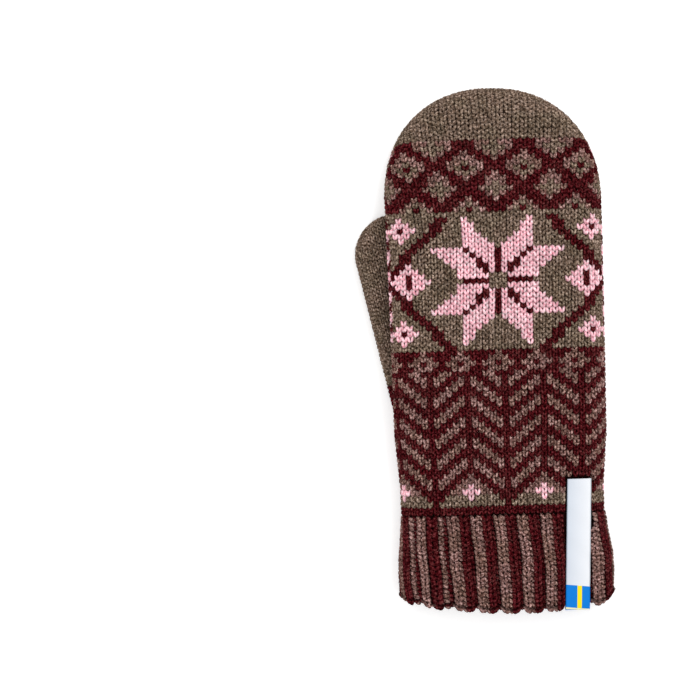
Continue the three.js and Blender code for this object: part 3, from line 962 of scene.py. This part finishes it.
def blank(name):
    """A new material with an empty node tree."""
    material = bpy.data.materials.new(name)
    material.use_nodes = True
    material.node_tree.nodes.clear()
    return material, material.node_tree


def finish_material(material, tree, settings, links=None):
    """Ends a material in its one shader, with the shader's settings and links."""
    shader = add(tree, "BsdfPrincipled", settings, links)
    add(tree, "OutputMaterial", {}, {"Surface": (shader, "BSDF")})
    return material


# Heathered wool shows flecks of its blended fibres about this size, and a soft two-ply twist. Its hue
# changes slowly along the skein
FLECK = 1.0
FIBRE = 0.16
SKEIN = 11.0
# A wave texture whose scale is this over a length has one band to each length
BAND = 0.31
# Wool hardly shines
MATT = {"Roughness": 0.95, "Specular IOR Level": 0.02}


def wool(name, dark, base, light, veil):
    """Carded, spun and lightly brushed wool: quite matt, as its fibres scatter all the light. The
    blended flecks are noise through three tints, a slow noise veils them here and there with a second
    dye, the colour is scaled by each leg's random tone with its painted depth shade and by each loose
    fibre's painted highlight, and the fibres and the ply's twist are a fine bump."""
    material, tree = blank(name)
    where = add(tree, "TexCoord")
    here = {"Vector": (where, "Object")}
    flecks = add(tree, "TexNoise", {"Scale": 1.0 / (FLECK * MM), "Detail": 4.0, "Roughness": 0.7}, here)
    tints = [(0.36, dark), (0.5, base), (0.66, light)]
    tint = add(tree, "ValToRGB", {}, {"Fac": (flecks, "Fac")}, tints)
    skein = add(tree, "TexNoise", {"Scale": 1.0 / (SKEIN * MM), "Detail": 2.0}, here)
    dye = add(tree, "ValToRGB", {}, {"Fac": (skein, "Fac")}, [(0.42, "#ffffff"), (0.6, veil)])
    both = {0: (tint, "Color"), 1: (dye, "Color")}
    dyed = add(tree, "VectorMath", {"operation": "MULTIPLY"}, both)
    # Painted shade and highlight: each leg's random tone darkened with depth, each loose fibre lightened
    tone_and_painted_light = add(tree, "Attribute", {"attribute_name": "tone_and_painted_light"})
    shaded = {0: (dyed, "Vector"), "Scale": (tone_and_painted_light, "Fac")}
    colour = add(tree, "VectorMath", {"operation": "SCALE"}, shaded)
    fibres = add(tree, "TexNoise", {"Scale": 1.0 / (FIBRE * MM), "Detail": 2.0, "Roughness": 0.6}, here)
    along_leg = add(tree, "Mapping", {"Scale": (2.0, 1.6, 1.0)}, {"Vector": (where, "UV")})
    plies = {"bands_direction": "DIAGONAL", "Scale": 0.5, "Distortion": 1.2, "Detail": 1.0}
    twist = add(tree, "TexWave", plies, {"Vector": (along_leg, "Vector")})
    sum_of = {0: (twist, "Fac"), 2: (fibres, "Fac")}
    relief = add(tree, "Math", {"operation": "MULTIPLY_ADD", 1: 0.35}, sum_of)
    bump = add(tree, "Bump", {"Strength": 0.6, "Distance": 0.25 * MM}, {"Height": (relief, "Value")})
    return finish_material(
        material, tree, MATT, {"Base Color": (colour, "Vector"), "Normal": (bump, "Normal")}
    )


def wool_ground_painted_shade():
    """The yarn between and behind the stitches, felted together, quite matt. Its near-black brown is
    painted shade: it gives the small dark gaps between the stitches, where shade falls."""
    material, tree = blank("felted_wool_ground_painted_shade")
    # Painted shade: near-black in place of the yarns' own colours
    return finish_material(material, tree, {"Base Color": linear("#150605"), **MATT})


def wool_lining():
    """The purl side of the stranded knitting, matt: floats of taupe and burgundy yarn lie across it, as
    noise drawn out sideways, over rows of bumps."""
    material, tree = blank("stranded_knit_purl_side")
    where = add(tree, "TexCoord")
    drawn_out = add(tree, "Mapping", {"Scale": (0.4, 1.0, 1.0)}, {"Vector": (where, "Object")})
    floats = {"Scale": 1.0 / (1.3 * MM), "Detail": 3.0, "Roughness": 0.6}
    flecks = add(tree, "TexNoise", floats, {"Vector": (drawn_out, "Vector")})
    tints = [(0.36, "#36141a"), (0.49, "#4f262a"), (0.53, "#66534a"), (0.66, "#85705f")]
    tint = add(tree, "ValToRGB", {}, {"Fac": (flecks, "Fac")}, tints)
    bands = {"bands_direction": "Y", "Scale": BAND / (ROW * MM), "Distortion": 2.5, "Detail": 2.0}
    rows = add(tree, "TexWave", bands, {"Vector": (where, "Object")})
    bump = add(tree, "Bump", {"Strength": 0.8, "Distance": 0.6 * MM}, {"Height": (rows, "Fac")})
    return finish_material(
        material, tree, MATT, {"Base Color": (tint, "Color"), "Normal": (bump, "Normal")}
    )


# Where the tape's blue end, its cream line at the fold and its yellow stripe lie, in millimetres down the
# tape and in share of its width, how far they slant, and the spacing of its weft
TAPE_BLUE_FROM = 54.1
TAPE_FOLD_AT = 65.9
TAPE_FOLD_HALF = 0.6
TAPE_STRIPE_AT = 0.565
TAPE_STRIPE_HALF = 0.094
TAPE_SLANT = 1.4
TAPE_WEFT = 0.45


def satin_tape():
    """Woven polyester satin label tape: white warp with thicker selvedges, a blue end with one yellow
    stripe, and a cream line at its fold, woven in. The white is painted darker and grey-blue towards the
    left side and darker still at both selvedges: painted shade. The colours are read from the tape's own
    surface coordinates, in share of its width and in millimetres from its top. The weave is a ribbed bump."""
    material, tree = blank("woven_satin_tape")
    place = add(tree, "UVMap", {"uv_map": "tape"})
    parts = add(tree, "SeparateXYZ", {}, {"Vector": (place, "UV")})
    is_end = add(tree, "Math", {"operation": "GREATER_THAN", 1: TAPE_BLUE_FROM}, {0: (parts, "Y")})
    stripe = {"operation": "COMPARE", 1: TAPE_STRIPE_AT, 2: TAPE_STRIPE_HALF}
    in_stripe = add(tree, "Math", stripe, {0: (parts, "X")})
    fold = {"operation": "COMPARE", 1: TAPE_FOLD_AT, 2: TAPE_FOLD_HALF}
    in_fold = add(tree, "Math", fold, {0: (parts, "Y")})
    mix = {"data_type": "RGBA"}
    end_colours = {**mix, 6: linear("#0478d2"), 7: linear("#f6dc1e")}
    end = add(tree, "Mix", end_colours, {0: (in_stripe, "Value")})
    # Painted shade: the white darkens towards the left side and at both edges
    whites_with_painted_shade = [(0.0, "#9da8b7"), (0.05, "#ccd3dd"), (0.5, "#dbdfe6"), (0.93, "#e7e9ed"), (1.0, "#b1b6be")]
    white = add(tree, "ValToRGB", {}, {"Fac": (parts, "X")}, whites_with_painted_shade)
    body = add(tree, "Mix", mix, {0: (is_end, "Value"), 6: (white, "Color"), 7: (end, 2)})
    colour = add(tree, "Mix", {**mix, 7: linear("#ece8bd")}, {0: (in_fold, "Value"), 6: (body, 2)})
    weft = {"bands_direction": "Y", "Scale": BAND / TAPE_WEFT, "Distortion": 0.3}
    weave = add(tree, "TexWave", weft, {"Vector": (place, "UV")})
    bump = add(tree, "Bump", {"Strength": 0.25, "Distance": 0.1 * MM}, {"Height": (weave, "Fac")})
    return finish_material(
        material,
        tree,
        {"Roughness": 0.55, "Specular IOR Level": 0.12},
        {"Base Color": (colour, 2), "Normal": (bump, "Normal")},
    )


def make_piece(name, points, faces, materials, node):
    """Puts points in millimetres and faces of three or four corners into a mesh that rides on the root
    and stands for a node of the frame. faces is a list of arrays, one for each count of corners."""
    mesh = bpy.data.meshes.new(name)
    corners = np.concatenate([part.ravel() for part in faces])
    counts = np.concatenate([np.full(len(part), part.shape[1]) for part in faces])
    starts = np.concatenate([[0], np.cumsum(counts)[:-1]])
    mesh.vertices.add(len(points))
    mesh.vertices.foreach_set("co", ((points + OFFSET) * MM).astype(np.float32).ravel())
    mesh.loops.add(len(corners))
    mesh.loops.foreach_set("vertex_index", corners.astype(np.int32))
    mesh.polygons.add(len(counts))
    mesh.polygons.foreach_set("loop_start", starts.astype(np.int32))
    mesh.polygons.foreach_set("use_smooth", np.ones(len(counts), bool))
    for material in materials:
        mesh.materials.append(material)
    mesh.update(calc_edges=True)
    piece = bpy.data.objects.new(name, mesh)
    bpy.context.scene.collection.objects.link(piece)
    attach(piece, "root")
    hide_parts(node)
    return piece


def corner_points(mesh):
    """The point that each corner of a mesh's faces uses."""
    corner = np.zeros(len(mesh.loops), np.int32)
    mesh.loops.foreach_get("vertex_index", corner)
    return corner


def write_uv(piece, name, marks):
    """Writes surface coordinates, given for each point, to every corner that uses it."""
    layer = piece.data.uv_layers.new(name=name)
    layer.uv.foreach_set("vector", marks[corner_points(piece.data)].astype(np.float32).ravel())


def yarn_piece(name, yarn, materials, node):
    """One mesh of all the legs in a set, with its yarns as materials, and each point's random tone with its
    painted shade and painted highlight.
    """
    faces = np.concatenate(yarn["faces"])
    piece = make_piece(name, np.concatenate(yarn["points"]), [faces], materials, node)
    mesh = piece.data
    mesh.polygons.foreach_set("material_index", np.concatenate(yarn["yarn"]).astype(np.int32))
    tone_and_painted_light = mesh.attributes.new("tone_and_painted_light", "FLOAT", "POINT")
    tone_and_painted_light.data.foreach_set("value", np.concatenate(yarn["tone_and_painted_light"]).astype(np.float32))
    write_uv(piece, "leg", np.concatenate(yarn["marks"]))


def split_knit(names, edges, stitches, fibres, materials, node):
    """Lays a side's stitches with their loose fibres, as one piece between each two edges in rows."""
    seat, width, tall, colour, row = stitches
    for name, first, last in zip(names, edges, edges[1:]):
        part = (row >= first) & (row < last)
        yarn = empty_yarn()
        here = [p[part] for p in seat[:4]]
        lay_knit(yarn, here, width[part], tall[part], YARN_DEPTH, colour[part])
        lay_fibres(yarn, here, fibres, colour[part])
        yarn_piece(name, yarn, materials, node)


def line_inside(piece, outside):
    """Gives the wall's second material to every face whose first corner lies past the outside points."""
    mesh = piece.data
    start = np.zeros(len(mesh.polygons), np.int32)
    mesh.polygons.foreach_get("loop_start", start)
    inside = corner_points(mesh)[start] >= outside
    mesh.polygons.foreach_set("material_index", inside.astype(np.int32))


def tube_wall(name, outer, inner, hole, materials, node):
    """A wall piece between two grids of rings, closed at its tip, with the lining on its inside."""
    points, quads, caps = shell(outer, inner, hole)
    piece = make_piece(name, points, [quads[:, ::-1], caps[:, ::-1]], materials, node)
    line_inside(piece, outer.shape[0] * outer.shape[1])


def round_tip(start, reach, count):
    """Stations that crowd towards a round tip, as the sine of an even angle, and stop just short of it."""
    return start + reach * np.sin(np.linspace(0.0, 0.497, count) * math.pi)


def hand_wall(rim, materials):
    """The wall under the hand's stitches, an oval shell with the thumb's hole in its ramp."""
    stations = np.concatenate([
        np.linspace(HAND_MOUTH, HOLE_SPAN[0], 14)[:-1],
        np.linspace(HOLE_SPAN[0], HOLE_SPAN[1], 21)[:-1],
        np.linspace(HOLE_SPAN[1], TIP_START, 28)[:-1],
        round_tip(TIP_START, LENGTH - BACKING - TIP_START, 24),
    ])[:, None]
    share = (np.arange(HAND_AROUND) / HAND_AROUND)[None, :]
    outer = pressed(hand_ring(rim, stations, share, BACKING))
    outer_run = LENGTH - BACKING - HAND_MOUTH
    drawn_in = HAND_MOUTH + (stations - HAND_MOUTH) * (LENGTH - KNIT - HAND_MOUTH) / outer_run
    inner = hand_ring(rim, np.where(stations < TIP_START, stations, drawn_in), share, KNIT)
    x, y, z = [(outer[:-1, :, k] + np.roll(outer[:-1, :, k], -1, axis=1)) / 2.0 for k in range(3)]
    lift = lift_share(x, y)
    on_ramp = (lift > HOLE_LIFT[0]) & (lift < HOLE_LIFT[1]) & (y < RAMP[1] + HOLE_PAST_RAMP)
    hole = in_thumb(x, y, z, -KNIT) & on_ramp
    tube_wall("hand_wall", outer, inner, hole, materials, "hand")


def thumb_wall(materials):
    """The wall under the thumb's stitches, an oval shell open at its root."""
    outer_tip = THUMB_TIP_RADIUS - BACKING
    even = np.linspace(THUMB_OPEN_AT, THUMB_RUN, 30)[:-1]
    runs = np.concatenate([even, round_tip(THUMB_RUN, outer_tip, 16)])[:, None]
    share = (np.arange(THUMB_AROUND) / THUMB_AROUND)[None, :]
    outer = thumb_ring(runs, share, BACKING)
    drawn_in = THUMB_RUN + (runs - THUMB_RUN) * (THUMB_TIP_RADIUS - KNIT) / outer_tip
    inner = thumb_ring(np.where(runs < THUMB_RUN, runs, drawn_in), share, KNIT)
    no_hole = np.zeros((len(runs) - 1, THUMB_AROUND), bool)
    tube_wall("thumb_wall", outer, inner, no_hole, materials, "thumb")


def cuff_wall(materials):
    """The wall under the cuff's stitches: rings down its outside, round the hem and up its inside."""
    around = RIBS * CUFF_POINTS
    phase = (np.arange(around) / CUFF_POINTS)[None, :]
    down = np.linspace(CUFF_LENGTH, CUFF_OUTSIDE_TO, 18)
    up = np.linspace(CUFF_INSIDE_FROM, CUFF_LENGTH, 10)
    rings = [pressed(cuff_ring(np.array([[y]]), phase, BACKING, 1.0)) for y in down]
    rings += [cuff_ring(np.array([[r["height"]]]), phase, r["inset"], r["ribbed"]) for r in CUFF_RIM]
    rings += [cuff_ring(np.array([[y]]), phase, CUFF_WALL, 0.0) for y in up]
    grid = np.concatenate(rings)
    quads = grid_faces(len(grid), around, wrap_rows=True).reshape(-1, 4)
    piece = make_piece("cuff_wall", grid.reshape(-1, 3), [quads], materials, "cuff")
    line_inside(piece, around * (len(down) + 1))


def surface_under_label(x, y):
    """The height that the label lies on: the oval's roof with its crown, on the cuff or the hand."""
    half = np.maximum(np.interp(y, CUFF_Y, CUFF_HALF), np.interp(y, HAND_Y, HAND_HALF))
    radius = CUFF_THICK / 2.0
    beyond = np.maximum(0.0, x - (half - radius))
    fall = radius - np.sqrt(radius**2 - beyond**2)
    on_hand = y > CUFF_LENGTH
    thick = np.where(on_hand, np.interp(y, HAND_Y, HAND_THICK), CUFF_THICK)
    crown = np.where(on_hand, np.interp(y, HAND_Y, HAND_CROWN), CUFF_CROWN)
    return thick - fall + crown * (1.0 - (x / half) ** 2)


def make_label(material):
    """The label: a tape that runs down the cuff, round the hem in a half circle and a little way up
    the inside, with a slight wave over the ribs and edges that curl down a little."""
    turn_y = float(hem_rise(np.array(LABEL_X))) + LABEL_TURNS_AT
    reach = CUFF_WALL / 2.0 + LABEL_SEAT
    down = np.linspace(LABEL_TOP, turn_y + 0.6, 64)
    turn = np.linspace(0.0, math.pi, 14)[1:-1]
    up = np.linspace(turn_y + 1.0, LABEL_INSIDE, 16)
    y = np.concatenate([down, turn_y - reach * np.sin(turn), up])
    way = np.concatenate([np.ones(len(down)), np.cos(turn), -np.ones(len(up))])
    columns = 17
    share = np.linspace(0.0, 1.0, columns)
    grid_y = np.repeat(y[:, None], columns, axis=1)
    grid_x = label_middle(grid_y) + LABEL_WIDTH * (share - 0.5)[None, :]
    centre = surface_under_label(grid_x, np.maximum(grid_y, 0.0)) - CUFF_WALL / 2.0
    edge = np.abs(share - 0.5)[None, :] * 2.0
    wave = LABEL_WAVE * np.sin(grid_y * 0.42 + grid_x * 0.3) * (way == 1.0)[:, None]
    wave = wave - LABEL_CURL * edge**4
    along = np.concatenate([[0.0], np.cumsum(np.hypot(np.diff(y), np.diff(way * reach)))])

    def face(offset):
        tall = centre + way[:, None] * (reach + offset + wave) - PRESS * np.maximum(way, 0.0)[:, None]
        bottom = grid_y - offset * np.sqrt(1.0 - way**2)[:, None]
        return np.stack([grid_x, bottom, tall], axis=-1)

    over, under = face(LABEL_THICK), face(0.0)
    rings = np.concatenate([over, under[:, ::-1]], axis=1)
    rows, around = rings.shape[:2]
    quads = grid_faces(rows, around).reshape(-1, 4)
    strip = np.arange(columns - 1)
    last = (rows - 1) * around
    ends = np.concatenate([
        np.stack([strip, around - 1 - strip, around - 2 - strip, strip + 1], axis=1),
        np.stack([strip, strip + 1, around - 2 - strip, around - 1 - strip], axis=1) + last,
    ])
    faces = np.concatenate([quads, ends])[:, ::-1]
    piece = make_piece("label_tape", rings.reshape(-1, 3), [faces], [material], "label")
    marks = np.zeros((rows, around, 2))
    marks[:, :columns, 0] = share
    marks[:, columns:, 0] = share[::-1]
    marks[:, :, 1] = along[:, None] + TAPE_SLANT * (0.5 - marks[:, :, 0])
    write_uv(piece, "tape", marks.reshape(-1, 2))


# Half the floor's width in metres, how much the paper glows, and how bright the surround is
FLOOR_HALF = 12.0
PAPER_GLOW = 0.34
SURROUND = 0.85


def make_stage():
    """A plain pale floor, a soft overhead panel, a smaller key panel and an even pale surround. The
    panels face the mitten."""
    mesh = bpy.data.meshes.new("floor")
    corners = [(x * FLOOR_HALF, y * FLOOR_HALF, 0.0) for x, y in ((-1, -1), (1, -1), (1, 1), (-1, 1))]
    mesh.from_pydata(corners, [], [(0, 1, 2, 3)])
    floor = bpy.data.objects.new("floor", mesh)
    floor.location.z = -0.2 * MM
    bpy.context.scene.collection.objects.link(floor)
    material, tree = blank("pale_paper")
    paper = {
        "Base Color": linear("#f6f6f6"),
        "Roughness": 0.9,
        "Specular IOR Level": 0.1,
        "Emission Color": linear("#ffffff"),
        "Emission Strength": PAPER_GLOW,
    }
    mesh.materials.append(finish_material(material, tree, paper))
    panels = [
        dict(name="overhead", size=1.6, power=6.0, place=(-0.1, 0.1, 1.9)),
        dict(name="key", size=0.5, power=6.0, place=(0.55, 0.75, 1.2)),
    ]
    for panel in panels:
        light = bpy.data.lights.new(panel["name"], "AREA")
        light.size = panel["size"]
        light.energy = panel["power"]
        lamp = bpy.data.objects.new(panel["name"], light)
        x, y, z = panel["place"]
        lamp.location = (x, y, z)
        lamp.rotation_euler = (math.atan2(math.hypot(x, y), z), 0.0, math.atan2(x, -y))
        bpy.context.scene.collection.objects.link(lamp)
    world = bpy.data.worlds.new("surround")
    world.use_nodes = True
    background = world.node_tree.nodes["Background"]
    background.inputs["Color"].default_value = linear("#ffffff")
    background.inputs["Strength"].default_value = SURROUND
    bpy.context.scene.world = world
    bpy.context.scene.view_settings.view_transform = "Standard"


# The camera looks straight down, turned so that the mitten leans as it does in the photograph.
# The photograph's middle lies beside the mitten, and one of its pixels is this many millimetres.
PIXEL = 0.5125
FRAME_PIXELS = 700
VIEW_CENTRE = (-76.1, 136.35)
VIEW_TURN = math.radians(1.7)
LENS = 100.0
SENSOR = 36.0
OUTLINE_HEIGHT = 11.0


def make_camera():
    """The camera, as far above the mitten's outline as gives a pixel of the frame that size there."""
    data = bpy.data.cameras.new("camera")
    data.lens = LENS
    data.sensor_width = SENSOR
    camera = bpy.data.objects.new("camera", data)
    distance = PIXEL * FRAME_PIXELS * LENS / SENSOR
    place = np.array([VIEW_CENTRE[0], VIEW_CENTRE[1], OUTLINE_HEIGHT + distance]) + OFFSET
    camera.location = place * MM
    camera.rotation_euler = (0.0, 0.0, -VIEW_TURN)
    bpy.context.scene.collection.objects.link(camera)
    bpy.context.scene.camera = camera


def make_mitten():
    """All pieces: the knit of the back, the palm and the thumb, the cuff, the walls and the label."""
    yarns = [
        wool("taupe_heather_wool", "#332117", "#756051", "#cbb2a3", "#f0f4ee"),
        wool("burgundy_wool", "#160001", "#4a0e13", "#7e4644", "#f8cee0"),
        wool("pink_wool", "#e08e9d", "#ffc8d1", "#fff6f7", "#fff8fa"),
        wool("burgundy_flecked_taupe_wool", "#341715", "#7d5a53", "#e2b8b3", "#eceee4"),
    ]
    wall = [wool_ground_painted_shade(), wool_lining()]
    rim = rim_of_hand()
    sides = [["back_chevron_knit", "back_star_knit"], ["palm_chevron_knit", "palm_seeded_knit"]]
    for palm, names in enumerate(sides):
        stitches = hand_stitches(rim, palm)
        split_knit(names, [0, SPLIT_ROW, HAND_ROWS], stitches, HAND_FIBRES, yarns, "hand")
    thumb_rim = rim_of_thumb()
    for palm, name in enumerate(["thumb_upper_knit", "thumb_lower_knit"]):
        stitches = thumb_stitches(thumb_rim, palm)
        split_knit([name], [0, THUMB_ROWS], stitches, THUMB_FIBRES, yarns, "thumb")
    cuff = empty_yarn()
    lay_cuff(cuff)
    lay_hem(cuff, 1.0)
    yarn_piece("cuff_rib_knit", cuff, yarns, "cuff")
    inside = empty_yarn()
    lay_hem(inside, 2.8)
    lay_floats(inside)
    yarn_piece("cuff_inside_floats", inside, yarns, "cuff")
    hand_wall(rim, wall)
    thumb_wall(wall)
    cuff_wall(wall)
    make_label(satin_tape())


make_camera()
make_stage()
make_mitten()
